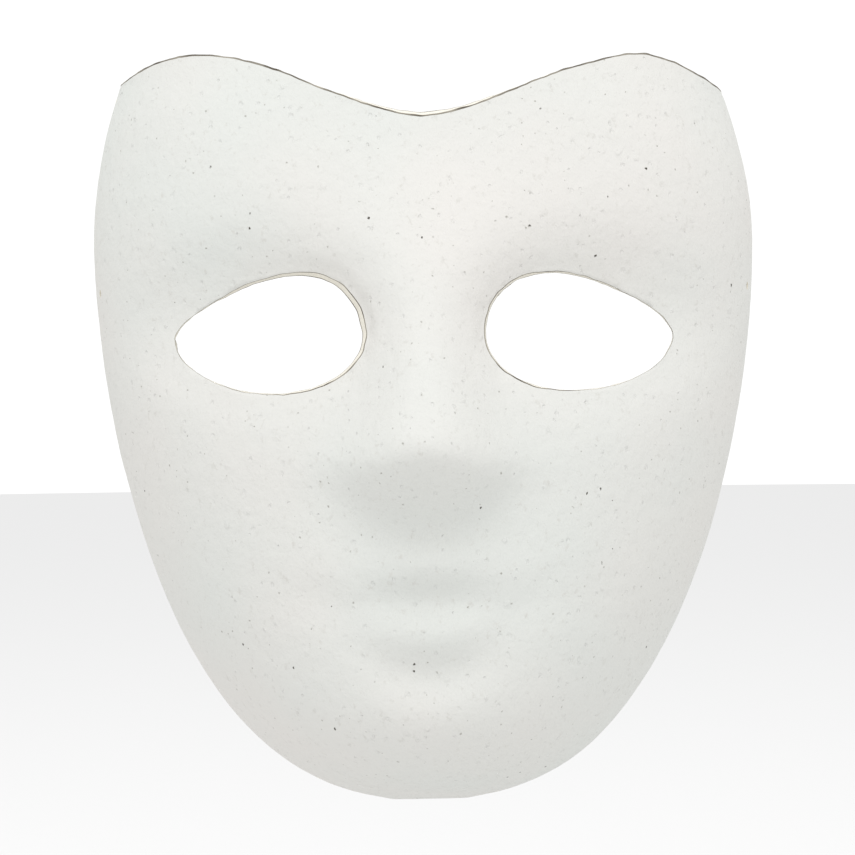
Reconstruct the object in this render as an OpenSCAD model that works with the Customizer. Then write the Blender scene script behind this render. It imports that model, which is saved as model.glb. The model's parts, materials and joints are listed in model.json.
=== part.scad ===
// Blank full-face mask of moulded paper pulp: one thin shell, open at the back.
// X runs across the face, Z is up and the face looks along -Y.
// The origin lies midway between the two strap holes.

/* [Shell] */
// Full width across the rim at its widest level
mask_w = 169; // [138:1:210]
// Height of the widest level above the strap holes
widest_z = 14; // [5:1:25]
// Drop from the strap holes to the bottom of the chin
chin_drop = 130; // [108:1:160]
// Depth of the plain dome, without nose and lips, in front of the rim
dome_depth = 50; // [38:1:62]
// Thickness of the pulp wall
wall = 1.8; // [1.2:0.1:2.6]
// Share of the width and height that the sides lean in at full depth, as mould draft
draft = 0.09; // [0.04:0.01:0.14]

/* [Top edge] */
// Height of the notch above the strap holes
notch_z = 39.8; // [32:0.1:48]
// Height of the two lobes above the strap holes
lobe_z = 56.4; // [50:0.1:60]
// Distance of each lobe's peak from the midline
lobe_x = 58; // [45:1:68]

/* [Eye openings] */
// Width of each opening
eye_w = 46.4; // [36:0.1:56]
// Distance of each opening's middle from the midline
eye_x = 38; // [32:0.1:42]
// Height of the openings' corners, measured from the strap holes
eye_z = -13; // [-20:0.1:-8]
// Rise of the upper lid above the corners
upper_lid = 14.9; // [10:0.1:18]
// Drop of the lower lid below the corners
lower_lid = 13.4; // [9:0.1:16]

/* [Face relief] */
// Height of the nose tip over the dome
nose_h = 20; // [14:0.5:26]
// Height of the nose tip, measured from the strap holes
nose_tip_z = -41; // [-48:1:-36]
// Height of the nose base, measured from the strap holes
nose_base_z = -61; // [-68:1:-56]
// Depth of the hollow that each eye opening lies in
socket_depth = 6.8; // [0:0.1:9]
// Height of the line between the lips, measured from the strap holes
mouth_z = -76; // [-82:1:-72]
// How far the lips stand out from the line between them
lip_h = 3; // [0:0.1:4]
// Swell of the chin over the dome
chin_h = 1; // [0:0.1:3]

/* [Strap holes] */
// Diameter of each punched strap hole
strap_hole_d = 2; // [1:0.5:5]
// Distance of the strap holes in front of the flat rear rim
strap_setback = 5; // [4:0.5:12]
// Angle of each strap hole forward of sideways, square to the side wall there
strap_tilt = 20; // [10:1:40]

/* [Hidden] */

half_w = mask_w / 2;
// the blank runs a little past the rim plane, so that one flat cut makes the rim
back_run = 3;
// the egg outline of the rim would close at this height, far above the top edge
crown_z = 109;
// the blank is closed off here, just above the lobes
cap_z = lobe_z + 10;
// levels of the dome's deepest point, and of the point that the draft leans towards
deepest_z = -45;
lean_z = -30;
// the egg outline is cut short at this share of its height, so the chin has a short flat
chin_flat = 0.997;
// how square the outline, the forehead and the chin are
outline_power = [1.8, 0.4];
forehead_power = [1.5, 0.5];
chin_power = [12, 0.476];
// how square the cross-section is on the cheeks and on the forehead, and the levels between
section_power = [2.4, 3.1];
section_levels = [-10, 45];
// depth over which nose, lips and sockets fade in from the rim
relief_fade = 18;

// swellings: [distance from the midline, height over its mark, half width, half height]
nostril = [13.5, 11, 8, 7.5];
nostril_h = 2.6;
socket = [3, 0.5, 29, 21];
socket_edge = 3.4;
// from this far above the eye corners to this far below, a socket loses depth down to this share
socket_fade = [9, -21];
cheek_share = 0.35;
muzzle = [0, 2, 34, 26];
muzzle_h = 3.5;
upper_lip = [0, 9, 15, 6];
lip_line = [0, 0, 25, 5.5];
lower_lip = [0, -6.5, 16, 5];
// the fold under the lips and the chin keep their places between the mouth and the rim
jaw = chin_drop + mouth_z;
lip_fold = [0, -0.324 * jaw, 15, 0.102 * jaw];
chin = [0, -0.52 * jaw, 24, 0.185 * jaw];
// how strongly upper lip, line, lower lip and fold stand out or in, as shares of the lips' height
upper_share = 1;
lower_share = 0.5;
fold_share = 0.85;
// how far the upper lip drops, and the lower lip and its fold rise, from the middle to their half width
upper_bow = 3;
lower_bow = 5;

// the nose ridge starts this far below the notch and rises by this power
ridge_start = 2;
ridge_power = 1.5;
// half width of the ridge on the bridge, what brow and tip add to it, and how square it is
bridge_w = 12.2;
brow_w = 14;
tip_w = 5;
nose_edge = 2.5;
// levels over the eye corners between which the bridge widens to the brow
brow_levels = [1, 33];
// distance below the eye corners where the ridge starts to widen to the tip, and the tip's own reach
tip_start = 7;
tip_reach = 5;
// the underside of the nose starts this far over the tip's level
tip_round = 3;
// half width of the V in which the underside meets the lip, and how far its edges rise and the wings drop
septum = [18, 8];
wing_drop = 4;

// each opening's lids lean towards the nose by these shares
upper_lean = 0.38;
lower_lean = 0.1;
// brings the leaning upper lid back to its stated rise
upper_trim = 0.94;
lid_points = 48;

// how sharply the top edge turns at the notch, and the steps and reach of its cut
notch_power = 0.8;
edge_step = 4;
edge_reach = 112;

rows = 52;
cols = 48;
// rows crowd towards the chin and columns towards the nose
row_crowding = 1.7;
col_crowding = 0.25;
// the share of the grid over which a slope is measured
slope_step = 0.005;

function clamp01(t) = min(1, max(0, t));
function ease(from, to, v) =
    let (t = clamp01((v - from) / (to - from)))
    t * t * (3 - 2 * t);

// an oval swelling of height 1 about a mark at height z_mark, mirrored about the midline
function swell(x, z, at, x_mark, z_mark, edge = 2) =
    exp(-pow(norm([(abs(x) - x_mark - at[0]) / at[2], (z - z_mark - at[1]) / at[3]]), edge));

// half the width of the rim at height z: an egg outline
function rim_half(z) =
    let (
        u = z > widest_z
            ? (z - widest_z) / (crown_z - widest_z)
            : (widest_z - z) / (widest_z + chin_drop)
    )
    half_w * pow(1 - pow(min(chin_flat, u), outline_power[0]), outline_power[1]);

// depth of the dome on the midline, from the back of the blank
function dome_mid(z) =
    let (
        up = clamp01((z - deepest_z) / (crown_z - deepest_z)),
        down = clamp01((deepest_z - z) / (deepest_z + chin_drop))
    )
    (dome_depth + back_run) * (
        z > deepest_z
            ? pow(1 - pow(up, forehead_power[0]), forehead_power[1])
            : pow(1 - pow(down, chin_power[0]), chin_power[1])
    );

// half width of the nose ridge: broad at the brow, narrow on the bridge
function ridge_spread(z) =
    bridge_w
    + brow_w * ease(eye_z + brow_levels[0], eye_z + brow_levels[1], z)
    + tip_w * ease(eye_z - tip_start, nose_tip_z - tip_reach, z);

// the ridge of the nose, from the forehead to its tip and back under to the lip
function nose_rise(x, z) =
    let (
        ridge_top = notch_z - ridge_start,
        climb = pow(clamp01((ridge_top - z) / (ridge_top - nose_tip_z)), ridge_power),
        aside = min(1, pow(x / septum[0], 2)),
        under = ease(nose_base_z + septum[1] * aside, nose_tip_z + tip_round - wing_drop * aside, z)
    )
    nose_h * climb * under * exp(-pow(abs(x) / ridge_spread(z), nose_edge));

function socket_drop(x, z) =
    socket_depth
        * swell(x, z, socket, eye_x, eye_z, socket_edge)
        * (cheek_share + (1 - cheek_share) * ease(eye_z + socket_fade[1], eye_z + socket_fade[0], z));

function lip_relief(x, z) =
    let (
        drop = upper_bow * pow(x / upper_lip[2], 2),
        rise = lower_bow * pow(x / lip_fold[2], 2)
    )
    lip_h * (
        upper_share * swell(x, z + drop, upper_lip, 0, mouth_z)
        - swell(x, z, lip_line, 0, mouth_z)
        + lower_share * swell(x, z - rise, lower_lip, 0, mouth_z)
        - fold_share * swell(x, z - rise, lip_fold, 0, mouth_z)
    );

function face_relief(x, z) =
    nose_rise(x, z)
    + nostril_h * swell(x, z, nostril, 0, nose_base_z)
    - socket_drop(x, z)
    + muzzle_h * swell(x, z, muzzle, 0, mouth_z)
    + lip_relief(x, z)
    + chin_h * swell(x, z, chin, 0, mouth_z);

// how square the cross-section is at height z
function squareness(z) =
    section_power[0]
    + (section_power[1] - section_power[0]) * ease(section_levels[0], section_levels[1], z);

// a point of the outer face; across runs -1 to 1 and up runs 0 to 1
function skin(across, up) =
    let (
        side = sin(90 * ((1 - col_crowding) * across + col_crowding * pow(across, 3))),
        z0 = -chin_drop + (cap_z + chin_drop) * pow(up, row_crowding),
        hollow = clamp01(1 - pow(abs(side), squareness(z0))),
        plain = dome_mid(z0) * sqrt(hollow) - back_run,
        lean = draft * plain / dome_depth,
        x = rim_half(z0) * side * (1 - lean),
        z = lean_z + (z0 - lean_z) * (1 - lean),
        deep = plain + face_relief(x, z) * clamp01(plain / relief_fade)
    )
    [x, strap_setback - deep, z];

// the outward direction at a point of the outer face
function outward(across, up) =
    let (
        h = slope_step,
        a = min(1 - 2 * h, max(2 * h - 1, across)),
        b = min(1 - 2 * h, max(2 * h, up)),
        n = cross(skin(a + h, b) - skin(a - h, b), skin(a, b + h) - skin(a, b - h))
    )
    n / norm(n);

// a point of the inner face, one wall behind the outer face
function lining(across, up) = skin(across, up) - wall * outward(across, up);

// one row of points of a face, with its ends on the back plane and its last row level
function face_row(i, inner) = [
    for (j = [0:cols])
        let (
            across = 2 * j / cols - 1,
            up = i / rows,
            p = inner ? lining(across, up) : skin(across, up),
            on_back = i == 0 || j == 0 || j == cols
        )
        [p[0], on_back ? strap_setback + back_run : p[1], i == rows ? cap_z : p[2]]
];

// two triangles across a patch with corners a, b, c and d in turn
function patch(a, b, c, d) = [[a, b, c], [a, c, d]];

// the untrimmed shell: outer face, inner face and the strip that joins them all round
module blank() {
    line = cols + 1;
    inner = line * (rows + 1);
    points = [for (side = [false, true], i = [0:rows]) each face_row(i, side)];
    faces = [
        for (i = [0:rows - 1], j = [0:cols - 1])
            let (a = i * line + j, b = a + 1, c = a + line, d = c + 1)
            each concat(patch(a, c, d, b), patch(inner + a, inner + b, inner + d, inner + c))
    ];
    border = concat(
        [for (j = [0:cols]) j],
        [for (i = [1:rows]) i * line + cols],
        [for (j = [cols - 1:-1:0]) rows * line + j],
        [for (i = [rows - 1:-1:1]) i * line]
    );
    strip = [
        for (k = [0:len(border) - 1])
            let (a = border[k], b = border[(k + 1) % len(border)])
            each patch(a, b, inner + b, inner + a)
    ];
    polyhedron(points, concat(faces, strip));
}

// height of the heart-shaped top edge at x
function top_edge(x) =
    notch_z + (lobe_z - notch_z) * pow((1 - cos(180 * x / lobe_x)) / 2, notch_power);

module above_top_edge() {
    edge = [for (x = [-edge_reach:edge_step:edge_reach]) [x, top_edge(x)]];
    rotate([90, 0, 0])
        translate([0, 0, -2 * strap_setback])
            linear_extrude(4 * dome_depth)
                polygon(concat(edge, [[edge_reach, 2 * cap_z], [-edge_reach, 2 * cap_z]]));
}

// outline of the right-hand opening, fuller towards the nose
function lid_point(turn) =
    let (
        c = cos(turn),
        s = sin(turn),
        reach = s > 0 ? upper_lid * upper_trim * (1 - upper_lean * c) : lower_lid * (1 - lower_lean * c)
    )
    [eye_x + eye_w / 2 * c, eye_z + s * reach];

module eye_opening() {
    rotate([90, 0, 0])
        linear_extrude(3 * dome_depth)
            polygon([for (k = [0:lid_points - 1]) lid_point(360 * k / lid_points)]);
}

// half the width over the side walls, level with the strap holes
function strap_x() =
    let (
        lean = draft * strap_setback / dome_depth,
        z0 = lean_z - lean_z / (1 - lean),
        hollow = pow((strap_setback + back_run) / dome_mid(z0), 2)
    )
    rim_half(z0) * pow(1 - hollow, 1 / squareness(z0)) * (1 - lean);

module strap_hole() {
    translate([strap_x() - wall / 2, 0, 0])
        rotate([90, 0, 90 - strap_tilt])
            cylinder(h = 8 * wall, d = strap_hole_d, center = true, $fn = 48);
}

module behind_rim() {
    translate([-mask_w, strap_setback, -2 * chin_drop])
        cube([2 * mask_w, 4 * back_run, 4 * chin_drop]);
}

module pulp_shell() {
    color("whitesmoke")
        difference() {
            blank();
            behind_rim();
            above_top_edge();
            eye_opening();
            mirror([1, 0, 0]) eye_opening();
            strap_hole();
            mirror([1, 0, 0]) strap_hole();
        }
}

pulp_shell();
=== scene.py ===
import json
import math

import bmesh
import bpy
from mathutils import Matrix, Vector, noise
from mathutils.geometry import intersect_point_line
from mathutils.kdtree import KDTree


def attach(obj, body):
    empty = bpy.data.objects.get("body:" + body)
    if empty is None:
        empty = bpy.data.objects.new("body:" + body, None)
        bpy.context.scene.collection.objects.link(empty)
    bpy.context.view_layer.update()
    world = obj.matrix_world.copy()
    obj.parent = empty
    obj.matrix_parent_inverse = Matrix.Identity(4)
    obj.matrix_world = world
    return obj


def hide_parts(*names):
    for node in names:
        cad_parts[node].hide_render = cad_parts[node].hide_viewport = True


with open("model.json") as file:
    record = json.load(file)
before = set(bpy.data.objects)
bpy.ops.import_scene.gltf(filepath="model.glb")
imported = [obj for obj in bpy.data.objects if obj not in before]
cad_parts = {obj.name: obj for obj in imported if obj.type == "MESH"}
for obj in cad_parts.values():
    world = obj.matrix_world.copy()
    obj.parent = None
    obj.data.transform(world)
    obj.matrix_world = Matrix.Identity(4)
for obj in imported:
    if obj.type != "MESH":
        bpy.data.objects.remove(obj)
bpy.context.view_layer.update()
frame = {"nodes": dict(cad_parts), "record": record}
bpy.ops.object.select_all(action="DESELECT")


# ---- The front skin ----
# The shell starts as a copy of the frame's part, of which only the smooth outer face is kept. Its coarse
# net is cleaned along the cut edges and subdivided, so the forms of the face are round at any distance.
RIM_Y = 0.005
ON_RIM = RIM_Y - 0.0004
TOP_Z = 0.030
HOLES = [m for m in frame["record"]["mounts"] if m["kind"] == "bore"]

node = frame["nodes"]["pulp_shell"]
shell = bpy.data.objects.new("moulded_shell", node.data.copy())
bpy.context.scene.collection.objects.link(shell)
bpy.context.view_layer.objects.active = shell
shell.select_set(True)

bm = bmesh.new()
bm.from_mesh(shell.data)
bmesh.ops.remove_doubles(bm, verts=bm.verts, dist=1e-5)


def hole_distance(point, hole):
    away = point - Vector(hole["pos_m"])
    along = Vector(hole["axis"])
    return (away - along * away.dot(along)).length if away.length < 0.01 else 1.0


def borders(bm):
    return [e for e in bm.edges if len(e.link_faces) == 1]


# every face of the outer skin looks forward, and the cut faces look sideways, up or back
bm.normal_update()
HOLE_WALL = 0.00105
cut = [
    f
    for f in bm.faces
    if f.normal.y > -0.002 or min(hole_distance(f.calc_center_median(), h) for h in HOLES) < HOLE_WALL
]
bmesh.ops.delete(bm, geom=cut, context="FACES")

# the two strap holes are closed until the wall has been made
for hole in HOLES:
    ring = [v for v in bm.verts if hole_distance(v.co, hole) < 0.0013]
    middle = sum((v.co for v in ring), Vector()) / len(ring)
    bmesh.ops.pointmerge(bm, verts=ring, merge_co=middle)

# corners, where the top edge meets the rim, stay sharp
corner_verts = set()
for side in (-1, 1):
    corner_verts.add(
        max(
            (v for v in bm.verts if v.is_boundary and abs(v.co.y - RIM_Y) < 1e-4),
            key=lambda v: v.co.z + side * v.co.x * 0.2 if side * v.co.x > 0 else -1,
        )
    )

# short border edges are closed up, and inner points too near the border are drawn onto it
for reach in (0.0006, 0.0011):
    weld = {}
    for e in sorted(borders(bm), key=lambda e: e.calc_length()):
        a, b = e.verts
        if e.calc_length() < reach and not {a, b} & {*weld, *weld.values()}:
            if b in corner_verts:
                a, b = b, a
            weld[b] = a
    bmesh.ops.weld_verts(bm, targetmap=weld)
edge_verts = [v for v in bm.verts if v.is_boundary]
tree = KDTree(len(edge_verts))
for i, v in enumerate(edge_verts):
    tree.insert(v.co, i)
tree.balance()
BESIDE = 0.0013
weld = {}
for v in bm.verts:
    if not v.is_boundary:
        _, i, gap = tree.find(v.co)
        if gap < BESIDE:
            weld[v] = edge_verts[i]
bmesh.ops.weld_verts(bm, targetmap=weld)
bmesh.ops.dissolve_degenerate(bm, dist=1e-5, edges=bm.edges)

# slivers that this leaves on the border go
for _ in range(8):
    bm.normal_update()
    ears = [
        f
        for f in bm.faces
        if sum(e.is_boundary for e in f.edges) > 1
        and not corner_verts & set(f.verts)
        and (f.normal.y > -0.05 or f.calc_area() < 0.25 * max(e.calc_length() for e in f.edges) ** 2)
    ]
    bmesh.ops.delete(bm, geom=ears, context="FACES")

# the points beside the border are evened out, and none is left too close to it
CLEAR = 0.001
near = {v for e in borders(bm) for v in e.verts}
beside = [v for v in bm.verts if not v.is_boundary and any(e.other_vert(v) in near for e in v.link_edges)]
for _ in range(4):
    bmesh.ops.smooth_vert(bm, verts=beside, factor=0.5, use_axis_x=True, use_axis_y=True, use_axis_z=True)
for v in beside:
    rim = [intersect_point_line(v.co, *(w.co for w in e.verts)) for e in borders(bm)]
    gap = min((v.co - foot).length for foot, share in rim if 0 <= share <= 1)
    if gap < CLEAR:
        inner = [w.co for w in (e.other_vert(v) for e in v.link_edges) if w not in near]
        v.co = v.co.lerp(sum(inner, Vector()) / len(inner), 0.6)
crease = bm.verts.layers.float.new("crease_vert")
for v in corner_verts:
    if v.is_valid:
        v[crease] = 1.0
loose = [v for v in bm.verts if not v.link_faces]
bmesh.ops.delete(bm, geom=loose, context="VERTS")
bm.to_mesh(shell.data)
bm.free()

bpy.ops.object.mode_set(mode="EDIT")
bpy.ops.mesh.select_all(action="SELECT")
bpy.ops.mesh.quads_convert_to_tris()
bpy.ops.mesh.beautify_fill(angle_limit=math.radians(25))
bpy.ops.mesh.tris_convert_to_quads(face_threshold=math.radians(45), shape_threshold=math.radians(50))
bpy.ops.object.mode_set(mode="OBJECT")

round_off = shell.modifiers.new("Round off", "SUBSURF")
round_off.levels = round_off.render_levels = 2
bpy.ops.object.modifier_apply(modifier=round_off.name)


# ---- The uneven top ----
# The top edge was trimmed by hand: its left lobe stands a millimetre higher than the right one, and the right
# corner slopes off sooner. Only the top of the shell is drawn up or down, and its rim stays flat.
def ease(start, end, value):
    t = min(1.0, max(0.0, (value - start) / (end - start)))
    return t * t * (3 - 2 * t)


LEFT_LOBE, RIGHT_CORNER, RIGHT_DIP = 0.0009, 0.0034, 0.0004
for v in shell.data.vertices:
    x, z = v.co.x, v.co.z
    v.co.z += ease(0.015, 0.045, z) * (
        LEFT_LOBE * ease(-0.02, -0.05, x) * ease(-0.078, -0.06, x)
        - RIGHT_CORNER * ease(0.052, 0.078, x)
        - RIGHT_DIP * math.exp(-(((x - 0.041) / 0.006) ** 2))
    )


# ---- The wall ----
# The skin is thickened inward to the pulp's 1.8 mm. The mould was never perfectly even, so both faces
# share a faint unevenness of a few centimetres' length.
WALL = 0.0018

uneven = bpy.data.textures.new("mould_unevenness", "CLOUDS")
uneven.noise_scale = 0.028
uneven.noise_depth = 1
mould = shell.modifiers.new("Mould unevenness", "DISPLACE")
mould.texture = uneven
mould.texture_coords = "LOCAL"
mould.strength = 0.0005
mould.mid_level = 0.5
bpy.ops.object.modifier_apply(modifier=mould.name)
for v in shell.data.vertices:
    if v.co.y > ON_RIM:
        v.co.y = RIM_Y

shell.data.materials.clear()
# the fourth material is painted shade: the dark line drawn along every cut arris
for name in ("front_pulp", "back_pulp", "cut_pulp", "arris_painted_shade"):
    shell.data.materials.append(bpy.data.materials.new(name))
FRONT, BACK, CUT, ARRIS = range(4)
wall = shell.modifiers.new("Wall", "SOLIDIFY")
wall.thickness = WALL
wall.offset = -1
wall.material_offset = BACK
wall.material_offset_rim = CUT
bpy.ops.object.modifier_apply(modifier=wall.name)


# ---- The cut edges ----
# The openings and the top edge were cut from the front, and their walls lean, so they show as a pale band
# inside a slightly torn arris, drawn as a dark line of painted shade. The rim lies in one flat plane.
# each opening's middle across and up, and how far its front arris is set back at the top and the bottom
EYES = ((-0.038, -0.013, 0.0014, 0.0009), (0.038, -0.013, 0.0007, 0.0006))
# the top edge's rear arris stands this much over the front one, and this much more at the notch
TOP_LIFT, NOTCH_LIFT, NOTCH_HALF = 0.0002, 0.0010, 0.024

bm = bmesh.new()
bm.from_mesh(shell.data)
bm.normal_update()
front_verts = {v for f in bm.faces if f.material_index == FRONT for v in f.verts}
partner = {}
for f in bm.faces:
    if f.material_index == CUT:
        for e in f.edges:
            a, b = e.verts
            if (a in front_verts) != (b in front_verts):
                partner[b if a in front_verts else a] = a if a in front_verts else b


def ripple(point, size, seed):
    return noise.noise(point / size + Vector((seed, 0, 0)))


shift = {}
opened = {}
for rear, front in partner.items():
    x, y, z = front.co
    normal = Vector((0, 0, 0))
    for f in front.link_faces:
        if f.material_index == FRONT:
            normal += f.normal
    normal.normalize()
    if y > ON_RIM:
        shift[rear] = Vector((rear.co.x, RIM_Y, rear.co.z)) - rear.co
        continue
    if z > TOP_Z:
        lift = TOP_LIFT + NOTCH_LIFT * math.exp(-((x / NOTCH_HALF) ** 2))
        lift += 0.0002 * ripple(front.co, 0.003, 3.1)
        shift[rear] = Vector((rear.co.x, min(rear.co.y, RIM_Y), z + lift)) - rear.co
    else:
        straight = front.co + Vector((0, min(0.003, WALL / max(0.3, -normal.y)), 0))
        eye_x, eye_z, top_lean, low_lean = EYES[0] if x < 0 else EYES[1]
        inward = Vector((eye_x - x, 0, eye_z - z))
        inward.normalize()
        nose_side = max(0.0, inward.x * math.copysign(1, x))
        outer_side = max(0.0, -inward.x * math.copysign(1, x))
        lean = low_lean + (top_lean - low_lean) * ease(-0.45, 0.35, -inward.z)
        lean *= (0.4 + 0.6 * nose_side) * (1 - ease(0.45, 0.95, outer_side))
        lean += 0.00015 * ripple(front.co, 0.003, 7.7)
        shift[rear] = straight - rear.co
        opened[front] = inward * -max(0.00005, lean)

# the skin near a moved arris follows it, less and less over a few millimetres
REACH = 0.006
moved = {**shift, **opened}
for steps, skin_verts in ((shift, set(bm.verts) - front_verts), (opened, front_verts)):
    ends = list(steps)
    tree = KDTree(len(ends))
    for i, v in enumerate(ends):
        tree.insert(v.co, i)
    tree.balance()
    for v in skin_verts - set(ends):
        _, i, gap = tree.find(v.co)
        if gap < REACH:
            moved[v] = steps[ends[i]] * ease(REACH, 0, gap)
for v, step in moved.items():
    v.co += step
for v in bm.verts:
    v.co.y = min(v.co.y, RIM_Y)

# the knife and the drying left the arrises faintly wavy: tears of 2 mm and waves of 9 mm
TEAR, WAVE = 0.00012, 0.0002
for v in set(partner) | set(partner.values()):
    if v.co.y < ON_RIM:
        v.co.x += TEAR * ripple(v.co, 0.0022, 11.3) + WAVE * ripple(v.co, 0.009, 1.7)
        v.co.z += TEAR * ripple(v.co, 0.0022, 23.9) + WAVE * ripple(v.co, 0.009, 5.3)

# each cut wall becomes three strips: front arris, open fibres, rear arris; both arris strips carry painted
# shade
FIRST_SHARE, LAST_SHARE, LAST_CUT = 0.12, 0.88, 0.84
TOP_CHAMFER, CHAMFER_DEPTH = 0.00042, 0.00016
strips = {}
for rear, front in partner.items():
    if front.co.y > ON_RIM:
        first, last = front.co.lerp(rear.co, FIRST_SHARE), front.co.lerp(rear.co, LAST_SHARE)
    else:
        if front.co.z > TOP_Z:
            across = Vector((0, 0, 1))
            chamfer = TOP_CHAMFER
        else:
            eye_x, eye_z, _, _ = EYES[0] if front.co.x < 0 else EYES[1]
            across = Vector((eye_x - front.co.x, 0, eye_z - front.co.z)).normalized()
            toward_nose = max(0.0, across.x * math.copysign(1, front.co.x))
            chamfer = 0.00008 + 0.00014 * toward_nose + 0.00016 * toward_nose * ease(0, 0.6, across.z)
        chamfer *= 1 + 0.5 * ripple(front.co, 0.004, 41.0)
        first = front.co + across * chamfer + Vector((0, CHAMFER_DEPTH, 0))
        last = first.lerp(rear.co, LAST_CUT)
    strips[rear] = (bm.verts.new(first), bm.verts.new(last))
old = [f for f in bm.faces if f.material_index == CUT]
for f in old:
    ring = list(f.verts)
    while not (ring[0] not in partner and ring[1] not in partner):
        ring = ring[1:] + ring[:1]
    fa, fb, rb, ra = ring
    (a1, a2), (b1, b2) = strips[ra], strips[rb]
    plain = max(fa.co.y, fb.co.y) > ON_RIM
    # the two outer strips take the painted shade of the arris, the middle one the open fibres
    for verts, index in (((fa, fb, b1, a1), ARRIS), ((a1, b1, b2, a2), CUT), ((a2, b2, rb, ra), ARRIS)):
        made = bm.faces.new(verts)
        made.material_index = CUT if plain else index
bmesh.ops.delete(bm, geom=old, context="FACES_ONLY")
bmesh.ops.delete(bm, geom=[e for e in bm.edges if not e.link_faces], context="EDGES")
bm.to_mesh(shell.data)
bm.free()


# ---- The pulp's surface ----
# Fibre clumps stand a tenth of a millimetre proud on both faces; finer grain is left to the material.
clumps = bpy.data.textures.new("fibre_clumps", "CLOUDS")
clumps.noise_scale = 0.0032
clumps.noise_depth = 2
pulp = shell.modifiers.new("Fibre clumps", "DISPLACE")
pulp.texture = clumps
pulp.texture_coords = "LOCAL"
pulp.strength = 0.00016
pulp.mid_level = 0.5
bpy.ops.object.modifier_apply(modifier=pulp.name)


# ---- The strap holes ----
# One round hole of 2 mm is punched square through each side wall, where the record states its mounts.
for i, hole in enumerate(HOLES):
    bpy.ops.mesh.primitive_cylinder_add(
        vertices=24,
        radius=hole["dims"]["r_mm"] / 1000,
        depth=0.012,
        location=hole["pos_m"],
        rotation=Vector(hole["axis"]).to_track_quat("Z", "Y").to_euler(),
    )
    punch = bpy.context.object
    punch.data.materials.append(bpy.data.materials["cut_pulp"])
    bpy.context.view_layer.objects.active = shell
    cut = shell.modifiers.new("Punch", "BOOLEAN")
    cut.object = punch
    cut.operation = "DIFFERENCE"
    cut.solver = "EXACT"
    cut.material_mode = "TRANSFER"
    bpy.ops.object.modifier_apply(modifier=cut.name)
    bpy.data.objects.remove(punch)
bpy.ops.object.select_all(action="DESELECT")
shell.select_set(True)
bpy.ops.object.shade_smooth_by_angle(angle=math.radians(42))

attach(shell, "root")
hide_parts("pulp_shell")


# ---- Materials ----
# Everything is one matte, unpainted paper pulp. It differs in what the mould, the screen and the
# knife did to it, and in painted shade: a dark line along every arris and small grey specks.
def linear(code):
    parts = [int(code[i : i + 2], 16) / 255 for i in (1, 3, 5)]
    return [c / 12.92 if c <= 0.04045 else ((c + 0.055) / 1.055) ** 2.4 for c in parts] + [1]


def add(tree, kind, settings=None, links=None):
    made = tree.nodes.new(kind)
    for key, value in (settings or {}).items():
        if isinstance(key, str) and hasattr(made, key):
            setattr(made, key, value)
        else:
            made.inputs[key].default_value = value
    for key, source in (links or {}).items():
        tree.links.new(source, made.inputs[key])
    return made


# Front: smooth side of the pulp. Faint tints and mottling, dark flecks of recycled fibre, grey specks that
# are painted shade of small pits, small dents and blisters, and a fine grain.
front = bpy.data.materials["front_pulp"]
front.use_nodes = True
tree = front.node_tree
shader = tree.nodes["Principled BSDF"]
shader.inputs["Roughness"].default_value = 0.92
shader.inputs["Specular IOR Level"].default_value = 0.25
place = add(tree, "ShaderNodeTexCoord").outputs["Object"]
fray = add(tree, "ShaderNodeTexNoise", {"Scale": 1400.0, "Detail": 2.0}, {"Vector": place})
centred = add(
    tree,
    "ShaderNodeVectorMath",
    {"operation": "SUBTRACT", 1: (0.5, 0.5, 0.5)},
    {0: fray.outputs["Color"]},
)
small = add(
    tree,
    "ShaderNodeVectorMath",
    {"operation": "SCALE", "Scale": 0.0008},
    {0: centred.outputs["Vector"]},
)
frayed = add(tree, "ShaderNodeVectorMath", {"operation": "ADD"}, {0: place, 1: small.outputs["Vector"]})
upright = add(
    tree,
    "ShaderNodeVectorMath",
    {"operation": "MULTIPLY", 1: (1.25, 1.25, 1.0)},
    {0: frayed.outputs["Vector"]},
)


def spots(tree, vector, scale, rarity, radius, core=0.0):
    """Soft spots, 1 in the middle and 0 outside: only the cells above the rarity hold one, up to the radius."""
    cells = add(tree, "ShaderNodeTexVoronoi", {"Scale": scale}, {"Vector": vector})
    luck = add(tree, "ShaderNodeSeparateColor", None, {"Color": cells.outputs["Color"]})
    reach = add(
        tree,
        "ShaderNodeMapRange",
        {"From Min": rarity, "From Max": 1.0, "To Min": 0.35 * radius * scale, "To Max": radius * scale},
        {"Value": luck.outputs["Red"]},
    )
    kept = add(tree, "ShaderNodeMath", {"operation": "GREATER_THAN", 1: rarity}, {0: luck.outputs["Red"]})
    share = add(
        tree,
        "ShaderNodeMath",
        {"operation": "DIVIDE"},
        {0: cells.outputs["Distance"], 1: reach.outputs["Result"]},
    )
    inside = add(
        tree,
        "ShaderNodeMapRange",
        {"interpolation_type": "SMOOTHSTEP", "From Min": 1.0, "From Max": core},
        {"Value": share.outputs["Value"]},
    )
    return add(
        tree,
        "ShaderNodeMath",
        {"operation": "MULTIPLY"},
        {0: kept.outputs["Value"], 1: inside.outputs["Result"]},
    )


def blend(tree, below, above, mask):
    """The colour below, covered by the colour above where the mask is 1."""
    mix = add(tree, "ShaderNodeMix", {"data_type": "RGBA"})
    tree.links.new(mask.outputs["Value"], mix.inputs["Factor"])
    tree.links.new(below, mix.inputs[6])
    mix.inputs[7].default_value = linear(above)
    return mix.outputs[2]


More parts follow.
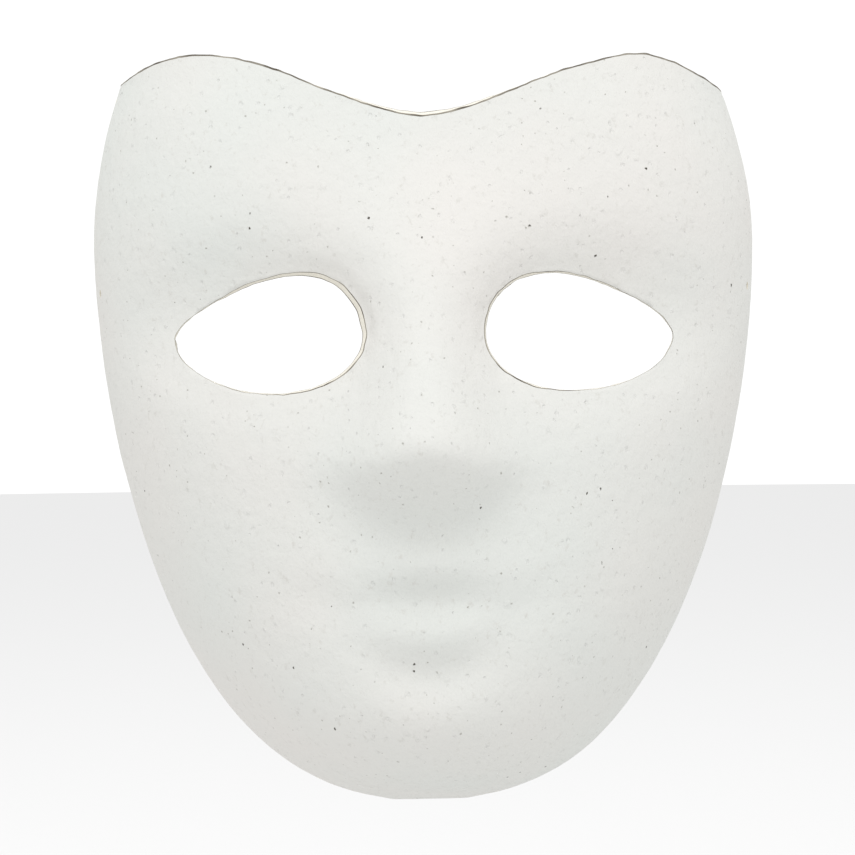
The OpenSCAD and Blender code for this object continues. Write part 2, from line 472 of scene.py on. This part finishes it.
tint = add(tree, "ShaderNodeTexNoise", {"Scale": 14.0, "Detail": 2.0}, {"Vector": place})
tone = add(tree, "ShaderNodeValToRGB", None, {"Fac": tint.outputs["Fac"]})
tone.color_ramp.elements[0].position = 0.35
tone.color_ramp.elements[0].color = linear("#D5D7D3")
tone.color_ramp.elements[1].position = 0.65
tone.color_ramp.elements[1].color = linear("#D9D7D3")
mottle = add(
    tree,
    "ShaderNodeTexNoise",
    {"Scale": 420.0, "Detail": 5.0, "Roughness": 0.7},
    {"Vector": upright.outputs["Vector"]},
)
cloud = add(tree, "ShaderNodeMapRange", {"From Min": 0.42, "From Max": 0.3}, {"Value": mottle.outputs["Fac"]})
cloudy = add(tree, "ShaderNodeMath", {"operation": "MULTIPLY", 1: 0.5}, {0: cloud.outputs["Result"]})
colour = blend(tree, tone.outputs["Color"], "#C3C1BB", cloudy)
# grey specks: painted shade, standing for the shade in small pits of the surface
colour = blend(tree, colour, "#96948C", spots(tree, frayed.outputs["Vector"], 400.0, 0.35, 0.00042))
colour = blend(tree, colour, "#4B4740", spots(tree, upright.outputs["Vector"], 250.0, 0.92, 0.0006, 0.5))
tree.links.new(colour, shader.inputs["Base Color"])

grain = add(
    tree,
    "ShaderNodeTexNoise",
    {"Scale": 1000.0, "Detail": 4.0, "Roughness": 0.6},
    {"Vector": upright.outputs["Vector"]},
)
fine = add(tree, "ShaderNodeBump", {"Strength": 0.6, "Distance": 0.0002}, {"Height": grain.outputs["Fac"]})
lumps = add(tree, "ShaderNodeTexNoise", {"Scale": 240.0, "Detail": 3.0}, {"Vector": upright.outputs["Vector"]})
knobbly = add(
    tree,
    "ShaderNodeBump",
    {"Strength": 0.7, "Distance": 0.00055},
    {"Height": lumps.outputs["Fac"], "Normal": fine.outputs["Normal"]},
)
dents = spots(tree, upright.outputs["Vector"], 330.0, 0.45, 0.0011)
dented = add(
    tree,
    "ShaderNodeBump",
    {"Strength": 1.0, "Distance": 0.0002, "invert": True},
    {"Height": dents.outputs["Value"], "Normal": knobbly.outputs["Normal"]},
)
blisters = spots(tree, frayed.outputs["Vector"], 210.0, 0.7, 0.0014)
blistered = add(
    tree,
    "ShaderNodeBump",
    {"Strength": 1.0, "Distance": 0.0002},
    {"Height": blisters.outputs["Value"], "Normal": dented.outputs["Normal"]},
)
tree.links.new(blistered.outputs["Normal"], shader.inputs["Normal"])

# Back: the side that lay on the forming screen, rougher, a little greyer, with the faint print of its
# 1.6 mm weave.
back = bpy.data.materials["back_pulp"]
back.use_nodes = True
tree = back.node_tree
shader = tree.nodes["Principled BSDF"]
shader.inputs["Base Color"].default_value = linear("#D5D3CB")
shader.inputs["Roughness"].default_value = 0.96
shader.inputs["Specular IOR Level"].default_value = 0.2
place = add(tree, "ShaderNodeTexCoord").outputs["Object"]
grain = add(tree, "ShaderNodeTexNoise", {"Scale": 420.0, "Detail": 6.0, "Roughness": 0.65}, {"Vector": place})
fine = add(tree, "ShaderNodeBump", {"Strength": 0.7, "Distance": 0.0004}, {"Height": grain.outputs["Fac"]})
warp_x = add(
    tree,
    "ShaderNodeTexWave",
    {"bands_direction": "X", "Scale": 196.0, "Distortion": 1.0},
    {"Vector": place},
)
weft_z = add(
    tree,
    "ShaderNodeTexWave",
    {"bands_direction": "Z", "Scale": 196.0, "Distortion": 1.0},
    {"Vector": place},
)
screen = add(
    tree,
    "ShaderNodeMath",
    {"operation": "MULTIPLY"},
    {0: warp_x.outputs["Fac"], 1: weft_z.outputs["Fac"]},
)
pressed = add(
    tree,
    "ShaderNodeBump",
    {"Strength": 0.8, "Distance": 0.0001},
    {"Height": screen.outputs["Value"], "Normal": fine.outputs["Normal"]},
)
tree.links.new(pressed.outputs["Normal"], shader.inputs["Normal"])

# Cut wall: open fibres, warm grey.
cut = bpy.data.materials["cut_pulp"]
cut.use_nodes = True
tree = cut.node_tree
shader = tree.nodes["Principled BSDF"]
shader.inputs["Base Color"].default_value = linear("#E6E2D7")
shader.inputs["Roughness"].default_value = 1.0
shader.inputs["Specular IOR Level"].default_value = 0.15
place = add(tree, "ShaderNodeTexCoord").outputs["Object"]
grain = add(tree, "ShaderNodeTexNoise", {"Scale": 1500.0, "Detail": 4.0}, {"Vector": place})
fine = add(tree, "ShaderNodeBump", {"Strength": 0.8, "Distance": 0.0003}, {"Height": grain.outputs["Fac"]})
tree.links.new(fine.outputs["Normal"], shader.inputs["Normal"])

# Arris: painted shade, a dark line of patchy tone along every cut line.
arris = bpy.data.materials["arris_painted_shade"]
arris.use_nodes = True
tree = arris.node_tree
shader = tree.nodes["Principled BSDF"]
shader.inputs["Roughness"].default_value = 1.0
shader.inputs["Specular IOR Level"].default_value = 0.15
place = add(tree, "ShaderNodeTexCoord").outputs["Object"]
patchy = add(tree, "ShaderNodeTexNoise", {"Scale": 160.0, "Detail": 4.0}, {"Vector": place})
tone = add(tree, "ShaderNodeValToRGB", None, {"Fac": patchy.outputs["Fac"]})
tone.color_ramp.elements[0].position = 0.38
tone.color_ramp.elements[0].color = linear("#5E584F")
tone.color_ramp.elements[1].position = 0.62
tone.color_ramp.elements[1].color = linear("#9A958A")
tree.links.new(tone.outputs["Color"], shader.inputs["Base Color"])

# Floor: plain white card.
card = bpy.data.materials.new("white_card")
card.use_nodes = True
shader = card.node_tree.nodes["Principled BSDF"]
shader.inputs["Base Color"].default_value = linear("#E6E6E6")
shader.inputs["Roughness"].default_value = 1.0
shader.inputs["Specular IOR Level"].default_value = 0.0


# ---- Floor, light and camera ----
# A white floor under the chin, an even white surround, and one large soft light above and in front.
bpy.ops.mesh.primitive_circle_add(vertices=96, radius=6, fill_type="NGON", location=(0, 0, -0.2))
floor = bpy.context.object
floor.name = "floor"
floor.data.materials.append(card)

world = bpy.data.worlds.new("surround")
bpy.context.scene.world = world
world.use_nodes = True
world.node_tree.nodes["Background"].inputs["Color"].default_value = (1, 1, 1, 1)
world.node_tree.nodes["Background"].inputs["Strength"].default_value = 1.056

bpy.ops.object.light_add(type="AREA", location=(0.0, -0.75, 1.25))
key = bpy.context.object
key.name = "key_light"
key.data.shape = "DISK"
key.data.size = 0.9
key.data.energy = 7.5
key.rotation_euler = (Vector((0, 0, -0.04)) - key.location).to_track_quat("-Z", "Y").to_euler()

bpy.ops.object.camera_add(location=(0.0005, -0.615, -0.035), rotation=(math.radians(90), math.radians(0.7), 0))
camera = bpy.context.object
camera.name = "camera"
camera.data.sensor_width = 36
camera.data.lens = 102
bpy.context.scene.camera = camera
bpy.context.scene.view_settings.view_transform = "Standard"
